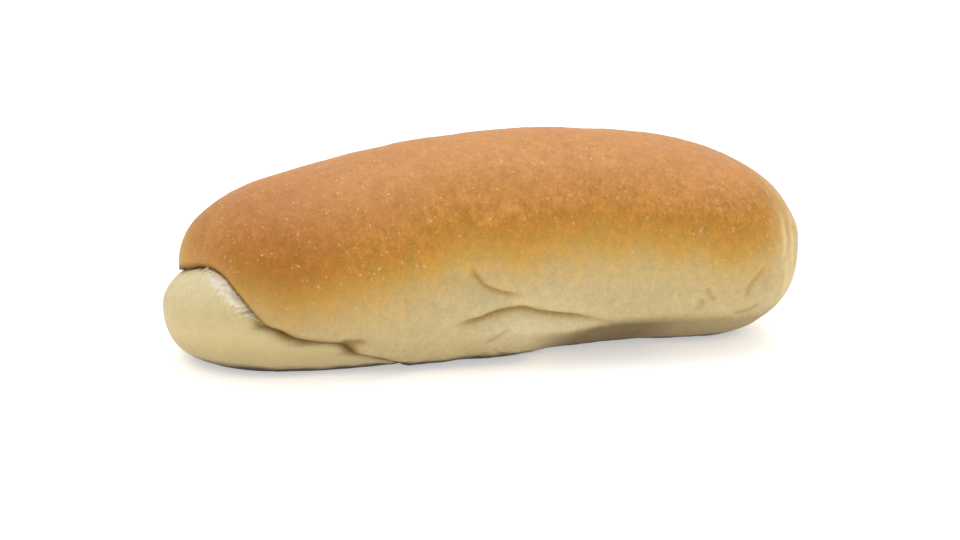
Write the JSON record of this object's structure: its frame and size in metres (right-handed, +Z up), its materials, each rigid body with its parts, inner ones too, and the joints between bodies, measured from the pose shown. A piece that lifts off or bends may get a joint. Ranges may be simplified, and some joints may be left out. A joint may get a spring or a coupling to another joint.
{
  "type": "bread roll",
  "caption": "Long soft bread roll baked as one piece: tall browned top, pale creased sides, an outer wrap of dough over a blunt pale end, flat base.",
  "frame": {"origin": "on the ground under the middle of the roll's bounding box", "axes": "+X along the roll, away from the end where the inner tongue shows; -Y the front; +Z up"},
  "size_m": [0.1566, 0.06, 0.0523],
  "materials": {
    "baked_crust": "matte"
  },
  "bodies": {
    "root": {"bread_roll": "baked_crust"}
  },
  "joints": []
}
